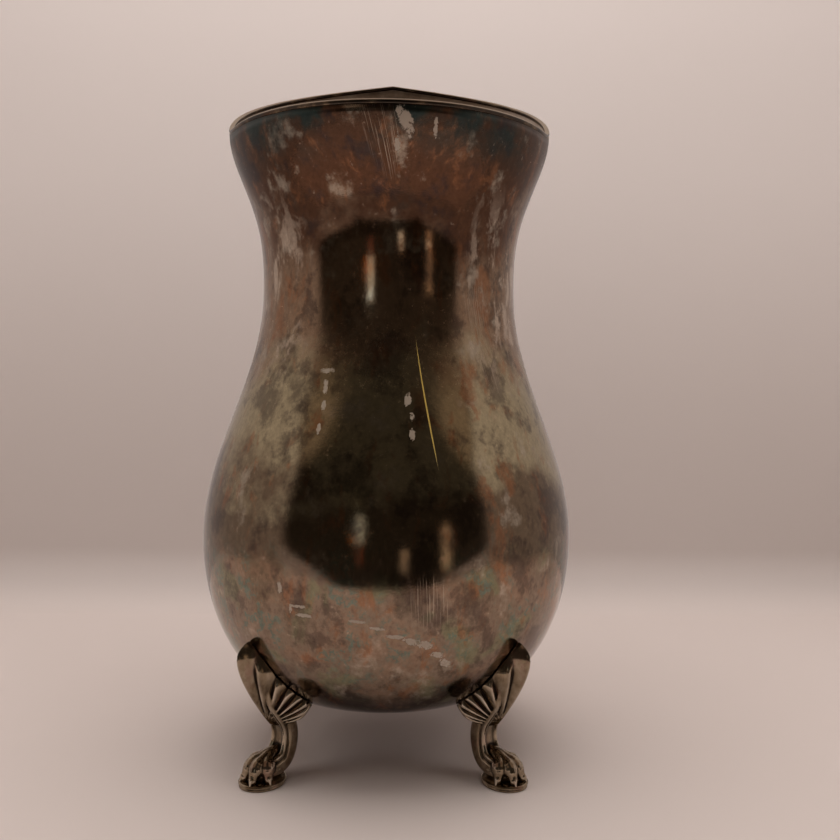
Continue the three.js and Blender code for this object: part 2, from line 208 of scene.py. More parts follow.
cloth = bpy.data.materials.new("tent_cloth")
cloth.use_nodes = True
weave = cloth.node_tree
weave.nodes.clear()
place = node(weave, "SeparateXYZ", {0: node(weave, "TexCoord", output=3)}).node.outputs
crease_shade_noise = node(weave, "TexNoise", {"Vector": node(weave, "TexCoord", output=3), "Scale": 5.0, "Detail": 3.0})
# painted light: the cloth is painted darker low on the wall and lighter higher up, as if lit more from the
# roof
lit_up = ease(weave, place[2], 0.02, 0.26)
cloth_colour = blend(weave, lit_up, CLOTH_LOW, CLOTH_HIGH)
cloth_colour = blend(weave, ease(weave, place[2], 0.0, 0.014, 1.0, 0.0), cloth_colour, CLOTH_FLOOR)
# painted shade: the flat cloth is darkened in soft patches for the shade in its creases
cloth_colour = blend(weave, calc(weave, "MULTIPLY", crease_shade_noise, 0.10), cloth_colour, CREASE_SHADE)
woven = node(weave, "BsdfDiffuse", {0: cloth_colour})
# the cloth is seen from its front only, so that the wall hides nothing from behind
one_sided = node(weave, "MixShader", {0: node(weave, "NewGeometry", output=6), 1: woven,
                                      2: node(weave, "BsdfTransparent")})
node(weave, "OutputMaterial", {0: one_sided})

cove = [(WALL_BACK - COVE, 0)]
for step in range(1, COVE_STEPS + 1):
    turn = step / COVE_STEPS * pi / 2
    cove.append((WALL_BACK - COVE + COVE * sin(turn), COVE * (1 - cos(turn))))
cove.append((WALL_BACK, STUDIO))
# the metal mirrors only the floor round the pitcher, up to where the tent's opening starts
front_to_back = [(FLOOR_SPLIT, 0), (WALL_BACK - COVE, 0)]
stage_sheet("studio_wall", cove, -STUDIO, STUDIO, False)
stage_sheet("studio_floor", front_to_back, -FLOOR_SIDE, FLOOR_SIDE, True)
stage_sheet("studio_floor_back", [(WALL_BACK - COVE, 0), (STUDIO, 0)], -STUDIO, STUDIO, False)
stage_sheet("studio_floor_left", front_to_back, -STUDIO, -FLOOR_SIDE, False)
stage_sheet("studio_floor_right", front_to_back, FLOOR_SIDE, STUDIO, False)
stage_sheet("studio_floor_front", [(-STUDIO, 0), (FLOOR_SPLIT, 0)], -STUDIO, STUDIO, False)

for name, place_from_axis, width, power in (
        ("roof_light", (0.0, 0.02, 0.62), 0.55, 2.9),
        ("left_light", (-0.55, -0.15, 0.42), 0.35, 0.5),
        ("right_light", (0.55, -0.15, 0.42), 0.35, 0.5)):
    light = bpy.data.objects.new(name, bpy.data.lights.new(name, "AREA"))
    light.data.shape = "SQUARE"
    light.data.size = width
    light.data.energy = power
    light.data.color = LIGHT_COLOUR
    light.visible_glossy = False
    light.location = from_axis(*place_from_axis)
    light.rotation_euler = (from_axis(0, 0, 0.1) - light.location).to_track_quat("-Z", "Y").to_euler()
    bpy.context.scene.collection.objects.link(light)


# ---- Body shell --------------------------------------------------------------------------------
# One sheet of brass spun on a chuck into a bowl with a waisted neck, drawn out by hand at the
# mouth into a lip and a high back, then silver-plated. Decades of tarnish cover the plate.
shell_low, shell_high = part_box("body_shell")
WALL = 0.0015
GAP = 0.0003
BASE_HEIGHT = shell_low[2]
BASE_RADIUS = 0.030
DISC_RADIUS = (disc_high[0] - disc_low[0]) / 2
BELLY_HEIGHT = 0.072
BELLY_RADIUS = shell_high[0]
WAIST_HEIGHT = 0.156
WAIST_RADIUS = 0.0427
WIRE_RADIUS = 0.00085
MOUTH_RADIUS = 0.0539
SHELL_TOP = 0.2066 - 2 * WIRE_RADIUS - GAP
FLARE_DELAY = 1.5
BACK_RISE = 0.0362
BACK_SPREAD = radians(105)
BACK_POINTEDNESS = 0.35
BACK_EASE = 0.12
BACK_LEAN = 0.0015
LIP_REACH = 0.007
LIP_DROP = 0.0018
LIP_SPREAD = radians(30)
BOWL_STEPS = 24
NECK_STEPS = 60
BODY_STEPS = 192


def wave_between(first, second, share):
    """Half a cosine wave from first to second."""
    return first + (second - first) * (1 - cos(pi * share)) / 2


def body_radius(height):
    """Outer radius of the spun body: quarter ellipse, wave in to the waist, wave out to the mouth."""
    if height <= BELLY_HEIGHT:
        share = min(1.0, (BELLY_HEIGHT - height) / (BELLY_HEIGHT - BASE_HEIGHT))
        return BASE_RADIUS + (BELLY_RADIUS - BASE_RADIUS) * sqrt(1 - share * share)
    if height <= WAIST_HEIGHT:
        share = (height - BELLY_HEIGHT) / (WAIST_HEIGHT - BELLY_HEIGHT)
        return wave_between(BELLY_RADIUS, WAIST_RADIUS, share)
    share = min(1.0, (height - WAIST_HEIGHT) / (SHELL_TOP - WAIST_HEIGHT))
    return wave_between(WAIST_RADIUS, MOUTH_RADIUS, share ** FLARE_DELAY)


def back_share(turn_from_back):
    """How much of the back's rise is reached at a turn from the back."""
    share = abs(turn_from_back) / BACK_SPREAD
    shape = (1 - BACK_POINTEDNESS) * cos(share * pi / 2) + BACK_POINTEDNESS * (1 - share)
    if shape > BACK_EASE:
        return shape
    return 0.0 if shape < -BACK_EASE else (shape + BACK_EASE) ** 2 / (4 * BACK_EASE)


def drawn_out(point):
    """Where a point of the spun body goes when the mouth is drawn; points are from the axis."""
    radius = hypot(point.x, point.y)
    share = max(0.0, min(1.2, (point.z - WAIST_HEIGHT) / (SHELL_TOP - WAIST_HEIGHT)))
    if share == 0 or radius == 0:
        return point.copy()
    lip = exp(-((atan2(point.x, -point.y) / LIP_SPREAD) ** 2))
    back = back_share(atan2(point.x, point.y))
    reach = (LIP_REACH * lip + BACK_LEAN * back ** 2) * share ** 3
    rise = (BACK_RISE * back - LIP_DROP * lip) * share ** 2
    return Vector((point.x * (1 + reach / radius), point.y * (1 + reach / radius), point.z + rise))


def body_outline():
    """Radius and height up the outside, closest together where it curves most."""
    points = []
    for step in range(BOWL_STEPS + 1):
        turn = step / BOWL_STEPS * pi / 2
        points.append(Vector((BASE_RADIUS + (BELLY_RADIUS - BASE_RADIUS) * sin(turn), 0,
                              BELLY_HEIGHT - (BELLY_HEIGHT - BASE_HEIGHT) * cos(turn))))
    for step in range(1, NECK_STEPS + 1):
        height = BELLY_HEIGHT + (SHELL_TOP - BELLY_HEIGHT) * step / NECK_STEPS
        points.append(Vector((body_radius(height), 0, height)))
    return points


def inset_outline(points, wall):
    """An outline moved inwards, square to itself."""
    moved = []
    for index, point in enumerate(points):
        before, after = points[max(index - 1, 0)], points[min(index + 1, len(points) - 1)]
        along = (after - before).normalized()
        moved.append(Vector((point.x - along.z * wall, 0, point.z + along.x * wall)))
    return moved


def spun(outline, steps, closed):
    """A bmesh spun about the body's axis from an outline of radius and height."""
    turned = bmesh.new()
    corners = [turned.verts.new(point) for point in outline]
    edges = [turned.edges.new(pair) for pair in zip(corners, corners[1:])]
    if closed:
        edges.append(turned.edges.new((corners[-1], corners[0])))
    bmesh.ops.spin(turned, geom=corners + edges, cent=(0, 0, 0), axis=(0, 0, 1), dvec=(0, 0, 0),
                   angle=2 * pi, steps=steps, use_merge=True)
    bmesh.ops.remove_doubles(turned, verts=turned.verts, dist=1e-6)
    bmesh.ops.recalc_face_normals(turned, faces=turned.faces)
    return turned


def finish_piece(name, shape, materials, cad_node):
    """Puts a bmesh made from the axis in its place as the piece that stands for a CAD node."""
    bmesh.ops.translate(shape, verts=shape.verts, vec=(0, AXIS_Y, 0))
    made = bpy.data.objects.new(name, bpy.data.meshes.new(name))
    shape.to_mesh(made.data)
    shape.free()
    for polygon in made.data.polygons:
        polygon.use_smooth = True
    for material in materials:
        made.data.materials.append(material)
    bpy.context.scene.collection.objects.link(made)
    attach(made, "root")
    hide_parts(cad_node)


def new_metal(name):
    """An empty material, with places in millimetres from the body's axis."""
    material = bpy.data.materials.new(name)
    material.use_nodes = True
    tree = material.node_tree
    tree.nodes.clear()
    spot = node(tree, "Mapping", {"Vector": node(tree, "TexCoord", output=3),
                                  "Location": (0, -AXIS_Y * 1000, 0), "Scale": (1000, 1000, 1000)})
    return material, tree, spot


def cloudiness(tree, spot, size, stretch=1.0, detail=4.0, roughness=0.55, distortion=0.0):
    """Noise from 0 to 1 whose patches are about size millimetres across and stretch times as tall."""
    scaled = node(tree, "Mapping", {"Vector": spot, "Scale": (1 / size, 1 / size, 1 / (size * stretch))})
    return node(tree, "TexNoise", {"Vector": scaled, "Scale": 1.0, "Detail": detail, "Roughness": roughness,
                                   "Distortion": distortion})


def stained(tree, share, colour, stain):
    """Lays a stain over a colour; share 1 covers it."""
    return blend(tree, share, colour, (*stain, 1))


def ramp(tree, value, *stops):
    """A colour ramp through (place, colour) stops."""
    made = node(tree, "ValToRGB", {0: value}).node
    while len(made.color_ramp.elements) < len(stops):
        made.color_ramp.elements.new(0.5)
    for element, (where, colour) in zip(made.color_ramp.elements, stops):
        element.position = where
        element.color = (*colour, 1)
    return made.outputs[0]


OLIVE = (0.43, 0.36, 0.23)
BROWN = (0.20, 0.145, 0.095)
UMBER = (0.32, 0.215, 0.14)
RUST = (0.115, 0.058, 0.034)
FLAME = (0.34, 0.15, 0.07)
PLUM = (0.060, 0.040, 0.036)
SOOT = (0.075, 0.054, 0.040)
CHARCOAL = (0.050, 0.048, 0.042)
TAUPE = (0.27, 0.20, 0.145)
CREAM = (0.62, 0.50, 0.39)
PEWTER = (0.50, 0.43, 0.34)
VERDIGRIS = (0.13, 0.21, 0.175)
DEEP_TEAL = (0.035, 0.058, 0.055)
ROSE = (0.36, 0.225, 0.15)
MOSS = (0.24, 0.23, 0.14)
RESIDUE = (0.50, 0.43, 0.35)
BRASS = (0.85, 0.62, 0.16)

body_metal, tree, spot = new_metal("tarnished_body_plate")
places = node(tree, "SeparateXYZ", {0: spot}).node.outputs
height = places[2]
ahead_of_axis = calc(tree, "MULTIPLY", places[1], -1.0)
around = calc(tree, "MULTIPLY", calc(tree, "ARCTAN2", places[0], ahead_of_axis), 180 / pi)
drift = cloudiness(tree, spot, 26, 0.9, 5.0, 0.6)
flames = cloudiness(tree, spot, 7, 2.4, 7.0, 0.66, 0.4)
mottle = cloudiness(tree, spot, 13, 1.2, 9.0, 0.68)
bloom = cloudiness(tree, spot, 20, 1.2, 7.0, 0.66)
fleck = cloudiness(tree, spot, 1.7, 1.3, 6.0, 0.75)
speckle = cloudiness(tree, spot, 0.7, 1.0, 4.0, 0.75)
level = calc(tree, "ADD", height, node(tree, "MapRange", {0: drift, 1: 0.25, 2: 0.75, 3: -20.0, 4: 20.0}))
# colour by height: dark at the foot of the bowl, then taupe, brown, olive, umber and rust up the body, and
# dark at the rim
colour = ramp(
    tree, calc(tree, "DIVIDE", level, 210.0),
    (0.13, SOOT), (0.19, TAUPE), (0.31, TAUPE), (0.36, BROWN), (0.43, BROWN), (0.49, OLIVE),
    (0.60, OLIVE), (0.68, UMBER), (0.78, UMBER), (0.86, RUST), (0.96, RUST), (0.99, CHARCOAL))
# rosy and mossy clouds on the bowl, under stains of several sizes that lie over one another
on_bowl = ease(tree, height, 84, 66)
hue = cloudiness(tree, spot, 15, 1.0, 4.0, 0.6, 0.6)
colour = stained(tree, calc(tree, "MULTIPLY", on_bowl, ease(tree, hue, 0.52, 0.64, 0.0, 0.45)), colour, ROSE)
colour = stained(tree, calc(tree, "MULTIPLY", on_bowl, ease(tree, hue, 0.47, 0.36, 0.0, 0.8)), colour, MOSS)
colour = stained(tree, ease(tree, bloom, 0.53, 0.64, 0.0, 0.65), colour, SOOT)
colour = stained(tree, ease(tree, flames, 0.53, 0.66, 0.0, 0.62), colour, FLAME)
plum_share = ease(tree, height, 150, 190, 0.55, 0.9)
colour = stained(tree, calc(tree, "MULTIPLY", ease(tree, mottle, 0.51, 0.62), plum_share), colour, PLUM)
# the flanks of the upper neck are darker, in patches
neck_flank = calc(tree, "MULTIPLY", band(tree, height, 163, 186, 8),
                  band(tree, calc(tree, "ABSOLUTE", around), 24, 62, 9))
flank_darkening = calc(tree, "MULTIPLY", neck_flank, ease(tree, bloom, 0.58, 0.46, 0.1, 0.85))
colour = stained(tree, flank_darkening, colour, RUST)
colour = stained(tree, ease(tree, mottle, 0.44, 0.32, 0.0, 0.6), colour, PEWTER)
# pale worn streaks down the sides of the neck
side_of_neck = calc(tree, "MULTIPLY", band(tree, height, 132, 176, 14),
                    ease(tree, calc(tree, "ABSOLUTE", around), 30, 44))
streaks = calc(tree, "MULTIPLY", side_of_neck, ease(tree, flames, 0.50, 0.40, 0.0, 0.85))
colour = stained(tree, streaks, colour, CREAM)
# greenish bloom lies in veins on the lower bowl, and as a wash just under the rim
vein = ease(tree, calc(tree, "ABSOLUTE", calc(tree, "SUBTRACT", mottle, 0.47)), 0.035, 0.0, 0.0, 0.75)
veined = calc(tree, "MULTIPLY", vein, calc(tree, "MULTIPLY", band(tree, height, 36, 74, 12),
                                           ease(tree, bloom, 0.54, 0.44)))
washed = calc(tree, "MULTIPLY", ease(tree, height, 186, 203), ease(tree, drift, 0.44, 0.56, 0.15, 0.8))
colour = stained(tree, washed, colour, DEEP_TEAL)
colour = stained(tree, veined, colour, VERDIGRIS)
# the finest flecks lighten and darken all of it
shade = node(tree, "MapRange", {0: fleck, 1: 0.3, 2: 0.7, 3: 0.78, 4: 1.22})
colour = node(tree, "VectorMath", {0: colour, 1: shade}, operation="MULTIPLY")
colour = stained(tree, ease(tree, fleck, 0.63, 0.72, 0.0, 0.6), colour, CREAM)


def oval_mark(turn, at_height, half_width, half_height, lean=0.0):
    """Nought in the middle of an oval and one on its edge; turn in degrees from the front, rest in mm."""
    mm_per_degree = body_radius(at_height / 1000) * 17.45
    across = calc(tree, "MULTIPLY", calc(tree, "SUBTRACT", around, turn), mm_per_degree)
    along = calc(tree, "SUBTRACT", height, at_height)
    slid = node(tree, "Math", {0: along, 1: lean, 2: across}, operation="MULTIPLY_ADD")
    wide = calc(tree, "POWER", calc(tree, "ABSOLUTE", calc(tree, "DIVIDE", slid, half_width)), 2.0)
    tall = calc(tree, "POWER", calc(tree, "ABSOLUTE", calc(tree, "DIVIDE", along, half_height)), 2.0)
    return calc(tree, "ADD", wide, tall)


def ragged_mark(*oval):
    """An oval patch with a broken edge."""
    frayed = node(tree, "MapRange", {0: fleck, 1: 0.34, 2: 0.66, 3: -1.2, 4: 1.2})
    return ease(tree, calc(tree, "ADD", oval_mark(*oval), frayed), 1.15, 0.75)


# where drink has dried on, or the plate has worn: turn, height, half width, half height, lean
SPLASHES = (
    (5.0, 199.5, 1.7, 3.4, 0.35), (3.2, 193.0, 0.7, 2.4, 0.1), (14.0, 198.0, 0.6, 2.2, 0.1),
    (-21.5, 124.0, 0.8, 1.9, 0.0), (-21.0, 118.5, 0.7, 1.5, 0.0), (-21.5, 112.0, 0.6, 1.4, 0.0),
    (-22.0, 129.0, 2.0, 0.8, 0.0), (7.6, 120.5, 0.9, 1.9, -0.15), (8.6, 115.5, 0.8, 1.4, 0.0),
    (8.4, 110.5, 0.8, 1.4, 0.0), (-23.5, 60.8, 3.2, 0.45, 0.0), (-22.0, 58.2, 3.0, 0.5, 1.2),
    (-26.0, 60.0, 0.6, 1.5, 0.0), (-29.0, 66.0, 0.7, 2.2, 0.0), (-7.0, 57.5, 2.4, 0.45, 2.2),
    (-2.0, 55.5, 2.2, 0.5, 2.0), (3.0, 53.0, 2.4, 0.6, 1.4), (7.5, 51.5, 1.8, 1.0, 1.0),
    (11.5, 50.0, 2.4, 1.3, 1.0), (15.5, 46.5, 2.0, 1.0, 1.2), (18.5, 43.5, 1.4, 1.6, 0.6))
splashed = ragged_mark(*SPLASHES[0])
for splash in SPLASHES[1:]:
    splashed = calc(tree, "MAXIMUM", splashed, ragged_mark(*splash))
scratch = ease(tree, oval_mark(13.5, 120.0, 0.24, 19.0, 0.10), 1.2, 0.5)
# fans of fine scratches, where the body has been scoured: turn, height, half width, half height, lean
SCOURS = ((-1.0, 196.0, 5.0, 11.0, 0.22), (13.0, 63.0, 7.0, 9.0, 0.05), (40.0, 145.0, 5.0, 24.0, 0.10))
scoured = 0.0
for scour in SCOURS:
    leaning = node(tree, "Math", {0: height, 1: scour[4], 2: calc(tree, "MULTIPLY", around, 0.95)},
                   operation="MULTIPLY_ADD")
    hairs = node(tree, "TexNoise", {
        "Vector": node(tree, "CombineXYZ", {0: calc(tree, "MULTIPLY", leaning, 3.0),
                                            1: calc(tree, "MULTIPLY", height, 0.05)}),
        "Scale": 1.0, "Detail": 3.0, "Roughness": 0.6})
    within = ease(tree, oval_mark(*scour), 1.3, 0.2)
    scoured = calc(tree, "MAXIMUM", scoured, calc(tree, "MULTIPLY", within, ease(tree, hairs, 0.54, 0.64)))
colour = stained(tree, calc(tree, "MULTIPLY", scoured, 0.55), colour, CREAM)
colour = stained(tree, calc(tree, "MULTIPLY", splashed, 0.9), colour, RESIDUE)
colour = stained(tree, scratch, colour, BRASS)
dried = calc(tree, "MAXIMUM", splashed, scratch)
flecked = ease(tree, fleck, 0.55, 0.70, 0.0, 0.6)
haze = calc(tree, "MAXIMUM", splashed, calc(tree, "MAXIMUM", scoured, flecked))
dull = calc(tree, "MAXIMUM", ease(tree, height, 190, 203, 0.0, 0.22),
            calc(tree, "MULTIPLY", band(tree, height, 122, 146, 14), 0.16))
roughness = calc(tree, "ADD", ease(tree, mottle, 0.35, 0.65, 0.04, 0.14),
                 calc(tree, "ADD", calc(tree, "MULTIPLY", haze, 0.22), dull))
dents = node(tree, "Bump", {"Strength": 0.20, "Distance": 0.0006,
                            "Height": cloudiness(tree, spot, 24, 1.0, 2.0)})
grain = node(tree, "Bump", {"Strength": 0.14, "Distance": 0.0001, "Height": speckle, "Normal": dents})
shader = node(tree, "BsdfPrincipled", {
    "Base Color": colour, "Metallic": calc(tree, "SUBTRACT", 1.0, calc(tree, "MULTIPLY", dried, 0.8)),
    "Roughness": roughness, "Normal": grain})
node(tree, "OutputMaterial", {0: shader})

inside_metal, tree, spot = new_metal("satin_inside_plate")
water_lines = cloudiness(tree, spot, 60, 0.05, 4.0, 0.6)
bloomed = cloudiness(tree, spot, 12, 1.3, 6.0, 0.65)
colour = ramp(tree, bloomed, (0.34, (0.34, 0.27, 0.21)), (0.52, (0.56, 0.47, 0.40)),
              (0.68, (0.66, 0.58, 0.51)))
colour = stained(tree, ease(tree, water_lines, 0.52, 0.62, 0.0, 0.5), colour, (0.30, 0.22, 0.16))
shader = node(tree, "BsdfPrincipled", {
    "Base Color": colour, "Metallic": 1.0, "Roughness": ease(tree, bloomed, 0.35, 0.65, 0.38, 0.52)})
node(tree, "OutputMaterial", {0: shader})

outside = body_outline()
inside = inset_outline(outside, WALL)
inside[-1] = Vector((MOUTH_RADIUS - WALL, 0, SHELL_TOP))
edge = DISC_RADIUS + GAP
section = [Vector((edge, 0, BASE_HEIGHT)), *outside, *reversed(inside), Vector((edge, 0, BASE_HEIGHT + WALL))]
shell = spun(section, BODY_STEPS, closed=True)
for face in shell.faces:
    middle = face.calc_center_median()
    if hypot(middle.x, middle.y) < body_radius(middle.z) - WALL / 2 and middle.z > BASE_HEIGHT + WALL / 2:
        face.material_index = 1
for vertex in shell.verts:
    vertex.co = drawn_out(vertex.co)
finish_piece("spun_body", shell, (body_metal, inside_metal), "body_shell")


# ---- Base disc ---------------------------------------------------------------------------------
# A flat round blank soldered into the bottom of the bowl, where the spinning chuck held it. Its
# underside is dished a little, with two fine turned rings.
disc = spun([
    Vector((0, 0, BASE_HEIGHT + 0.0003)), Vector((0.0120, 0, BASE_HEIGHT + 0.0003)),
    Vector((0.0124, 0, BASE_HEIGHT + 0.0001)), Vector((0.0128, 0, BASE_HEIGHT + 0.0003)),
    Vector((0.0225, 0, BASE_HEIGHT + 0.0002)), Vector((0.0229, 0, BASE_HEIGHT)),
    Vector((DISC_RADIUS - 0.0004, 0, BASE_HEIGHT)), Vector((DISC_RADIUS, 0, BASE_HEIGHT + 0.0004)),
    Vector((DISC_RADIUS, 0, BASE_HEIGHT + WALL)), Vector((0, 0, BASE_HEIGHT + WALL))], 96, closed=False)
finish_piece("soldered_base_disc", disc, (body_metal,), "base_disc")


# ---- Rim wire ----------------------------------------------------------------------------------
# A drawn half-round wire soldered over the cut edge of the mouth, so that it follows the lip and
# the high back. Its upper side is painted pale, a painted highlight that makes it look brighter than the
# sheet below.
rim_metal, tree, spot = new_metal("rim_plate_with_painted_highlight")
rubbed = cloudiness(tree, spot, 6, 1.0, 5.0, 0.6)
stain = cloudiness(tree, spot, 16, 1.0, 3.0)
colour = ramp(tree, rubbed, (0.30, CHARCOAL), (0.50, SOOT), (0.62, BROWN), (0.76, OLIVE))
colour = stained(tree, ease(tree, stain, 0.5, 0.7, 0.0, 0.7), colour, RUST)
# painted highlight: the upward-facing side of the wire is painted pale
upmost = node(tree, "SeparateXYZ", {0: node(tree, "NewGeometry", output=1)}, output=2)
painted_top_highlight = ease(tree, upmost, 0.30, 0.62)
colour = stained(tree, calc(tree, "MULTIPLY", painted_top_highlight, 0.9), colour, (0.78, 0.68, 0.56))
shader = node(tree, "BsdfPrincipled", {
    "Base Color": colour, "Metallic": 1.0, "Roughness": ease(tree, painted_top_highlight, 0.0, 1.0, 0.22, 0.55),
    "Normal": node(tree, "Bump", {"Strength": 0.2, "Distance": 0.0001, "Height": rubbed})})
node(tree, "OutputMaterial", {0: shader})

WIRE_RING = MOUTH_RADIUS - WALL / 2
wire = bmesh.new()
bmesh.ops.create_circle(wire, cap_ends=False, segments=20, radius=WIRE_RADIUS)
bmesh.ops.rotate(wire, verts=wire.verts, cent=(0, 0, 0), matrix=Matrix.Rotation(pi / 2, 3, "X"))
bmesh.ops.translate(wire, verts=wire.verts, vec=(WIRE_RING, 0, 0))
bmesh.ops.spin(wire, geom=wire.verts[:] + wire.edges[:], cent=(0, 0, 0), axis=(0, 0, 1), dvec=(0, 0, 0),
               angle=2 * pi, steps=240, use_merge=True)
bmesh.ops.remove_doubles(wire, verts=wire.verts, dist=1e-6)
bmesh.ops.recalc_face_normals(wire, faces=wire.faces)
for vertex in wire.verts:
    turn = atan2(vertex.co.y, vertex.co.x)
    outwards = hypot(vertex.co.x, vertex.co.y) - WIRE_RING
    spine = drawn_out(Vector((WIRE_RING * cos(turn), WIRE_RING * sin(turn), SHELL_TOP)))
    reach = hypot(spine.x, spine.y) + outwards
    vertex.co = Vector((reach * cos(turn), reach * sin(turn), spine.z + WIRE_RADIUS + vertex.co.z))
finish_piece("mouth_wire", wire, (rim_metal,), "rim_wire")


# ---- Feet --------------------------------------------------------------------------------------
# Four cast feet: a keeled shell of rounded lobes lies on the bowl, and a fluted leg runs
# down from it to a clawed paw on an oval plinth. Each is cast in one and soldered to the body.
FAN_ROOT_HEIGHT = 0.0238
FAN_LENGTH = 0.027
FAN_SIDE_LENGTH = 0.010
FAN_BOTTOM_LENGTH = 0.004
FAN_POINTEDNESS = radians(20)
FAN_BULGE = 0.0086
FAN_EDGE = 0.0019
FAN_KEEL_ANGLE = radians(6.5)
FAN_LOBE_CROWDING = 0.9
FAN_INFLATION = 0.75
FAN_GROOVE = 0.0023
FAN_SCALLOP = 0.04
FAN_ROUNDNESS = 0.72
ANKLE_RADIUS = 0.045
ANKLE_HEIGHT = 0.015
LEG_WIDTH = 0.0094
LEG_THICKNESS = 0.0072
PAW_RADIUS = 0.0536
PAW_HEIGHT = 0.0094
PLINTH_LENGTH = 0.0156
PLINTH_WIDTH = 0.0136
PLINTH_THICKNESS = 0.0018
TOE_TURNS = (-76, -22, 22, 76)
TOE_RADIUS = 0.0021
TOE_BEADS = 16
CLAW_LENGTH = 0.0022
FOOT_VOXEL = 0.00022


def curve_through(points):
    """A smooth curve through points of radius and height: share 0 to 1 gives place and direction."""
    corners = [Vector((radius, 0, height)) for radius, height in points]
    corners = [2 * corners[0] - corners[1], *corners, 2 * corners[-1] - corners[-2]]

    def at(share):
        along = min(max(share, 0.0), 1.0) * (len(points) - 1)
        index = min(int(along), len(points) - 2)
        t = along - index
        a, b, c, d = corners[index:index + 4]
        place = 0.5 * (2 * b + (c - a) * t + (2 * a - 5 * b + 4 * c - d) * t ** 2
                       + (3 * b - a - 3 * c + d) * t ** 3)
        direction = 0.5 * ((c - a) + 2 * (2 * a - 5 * b + 4 * c - d) * t
                           + 3 * (3 * b - a - 3 * c + d) * t ** 2)
        return place, direction.normalized()
    return at


def bent_bar(shape, curve, size, sides, steps):
    """Adds a closed bar along a curve in the XZ plane; size(share, turn) gives half width and depth.

    Turn 0 is the bar's sideways direction, and a quarter turn is its outer side."""
    ring = bmesh.ops.create_circle(shape, cap_ends=True, segments=sides, radius=1)["verts"]
    rings = [ring]
    edges = list({edge for vertex in ring for edge in vertex.link_edges})
    for _ in range(steps):
        made = bmesh.ops.extrude_edge_only(shape, edges=edges)["geom"]
        ring = [item for item in made if isinstance(item, bmesh.types.BMVert)]
        fresh = set(ring)
        edges = [item for item in made
                 if isinstance(item, bmesh.types.BMEdge) and fresh.issuperset(item.verts)]
        rings.append(ring)
    bmesh.ops.contextual_create(shape, geom=edges)
    for index, ring in enumerate(rings):
        share = index / steps
        place, direction = curve(share)
        outer = Vector((-direction.z, 0, direction.x))
        for vertex in ring:
            turn = atan2(vertex.co.y, vertex.co.x)
            half_width, half_depth = size(share, turn)
            vertex.co = (place + Vector((0, 1, 0)) * half_width * cos(turn)
                         + outer * half_depth * sin(turn))


def degrees_from_outer(turn):
    """How far round a bar's section a point is from the middle of its outer side."""
    return abs((turn - pi / 2 + pi) % (2 * pi) - pi) * 180 / pi


def fan_length(turn):
    """From the shell's root to its edge, by turn from straight up."""
    if turn > pi / 2:
        return FAN_SIDE_LENGTH + (FAN_BOTTOM_LENGTH - FAN_SIDE_LENGTH) * (turn / (pi / 2) - 1)
    return FAN_SIDE_LENGTH + (FAN_LENGTH - FAN_SIDE_LENGTH) * exp(-((turn / FAN_POINTEDNESS) ** 1.2))


fan_middle = FAN_ROOT_HEIGHT + FAN_LENGTH / 3
fan_up = Vector((body_radius(fan_middle + 0.005) - body_radius(fan_middle - 0.005), 0, 0.010)).normalized()
fan_out = Vector((fan_up.z, 0, -fan_up.x))
fan_root = (Vector((body_radius(fan_middle), 0, fan_middle))
            + fan_up * ((FAN_ROOT_HEIGHT - fan_middle) / fan_up.z))
casting = bmesh.new()
bmesh.ops.create_uvsphere(casting, u_segments=288, v_segments=48, radius=1)
bmesh.ops.rotate(casting, verts=casting.verts, cent=(0, 0, 0), matrix=Matrix.Rotation(pi / 2, 3, "X"))
for vertex in casting.verts:
    flat = min(1.0, hypot(vertex.co.x, vertex.co.z))
    turn = atan2(-vertex.co.x, vertex.co.z) if flat > 0 else 0.0
    lobe = abs(cos(pi / 2 * (abs(turn) / FAN_KEEL_ANGLE) ** FAN_LOBE_CROWDING))
    length = fan_length(abs(turn)) * (1 - FAN_SCALLOP * (1 - lobe))
    sideways = flat * length * sin(turn)
    keel = max(0.0, 1 - abs(sideways) / FAN_SIDE_LENGTH) ** FAN_INFLATION
    bulge = FAN_EDGE + (FAN_BULGE - FAN_EDGE) * keel
    dome = (1 if vertex.co.y > 0 else -1) * abs(vertex.co.y) ** FAN_ROUNDNESS
    groove = FAN_GROOVE * (1 - lobe) * min(1.0, flat * 1.6)
    sag = sideways ** 2 / (2 * BELLY_RADIUS)
    vertex.co = (fan_root + Vector((0, sideways, 0)) + fan_up * (flat * length * cos(turn))
                 + fan_out * (dome * bulge + 0.0004 - groove - sag))
bmesh.ops.recalc_face_normals(casting, faces=casting.faces)


def leg_size(share, turn):
    """The leg is squarish, with a sunk panel down its front between two ribs."""
    waisted = 1 - 0.1 * sin(pi * share)
    squared = (abs(cos(turn)) ** 4 + abs(sin(turn)) ** 4) ** -0.25
    sunk = max(0.0, sin(turn)) * exp(-(cos(turn) * squared / 0.60) ** 8)
    beside_rib = exp(-((degrees_from_outer(turn) - 66) / 9) ** 2)
    size = squared * (1 - 0.12 * beside_rib)
    return LEG_WIDTH / 2 * waisted * size * 0.94, LEG_THICKNESS / 2 * waisted * size * (1 - 0.34 * sunk)


bent_bar(casting, curve_through([
    (body_radius(fan_middle) + 0.001, fan_middle),
    (body_radius(FAN_ROOT_HEIGHT + 0.004) + 0.004, FAN_ROOT_HEIGHT + 0.002),
    (ANKLE_RADIUS + 0.0008, ANKLE_HEIGHT + 0.003),
    (ANKLE_RADIUS, ANKLE_HEIGHT - 0.003),
    (ANKLE_RADIUS + 0.0022, PAW_HEIGHT / 2 + 0.002),
    (PAW_RADIUS - 0.001, PAW_HEIGHT / 2)]), leg_size, 64, 60)


def toe_size(share):
    """A toe swells at its knuckle and narrows to its claw."""
    return TOE_RADIUS * (0.68 + 0.50 * exp(-((share - 0.70) / 0.16) ** 2) - 0.25 * max(0.0, share - 0.8))


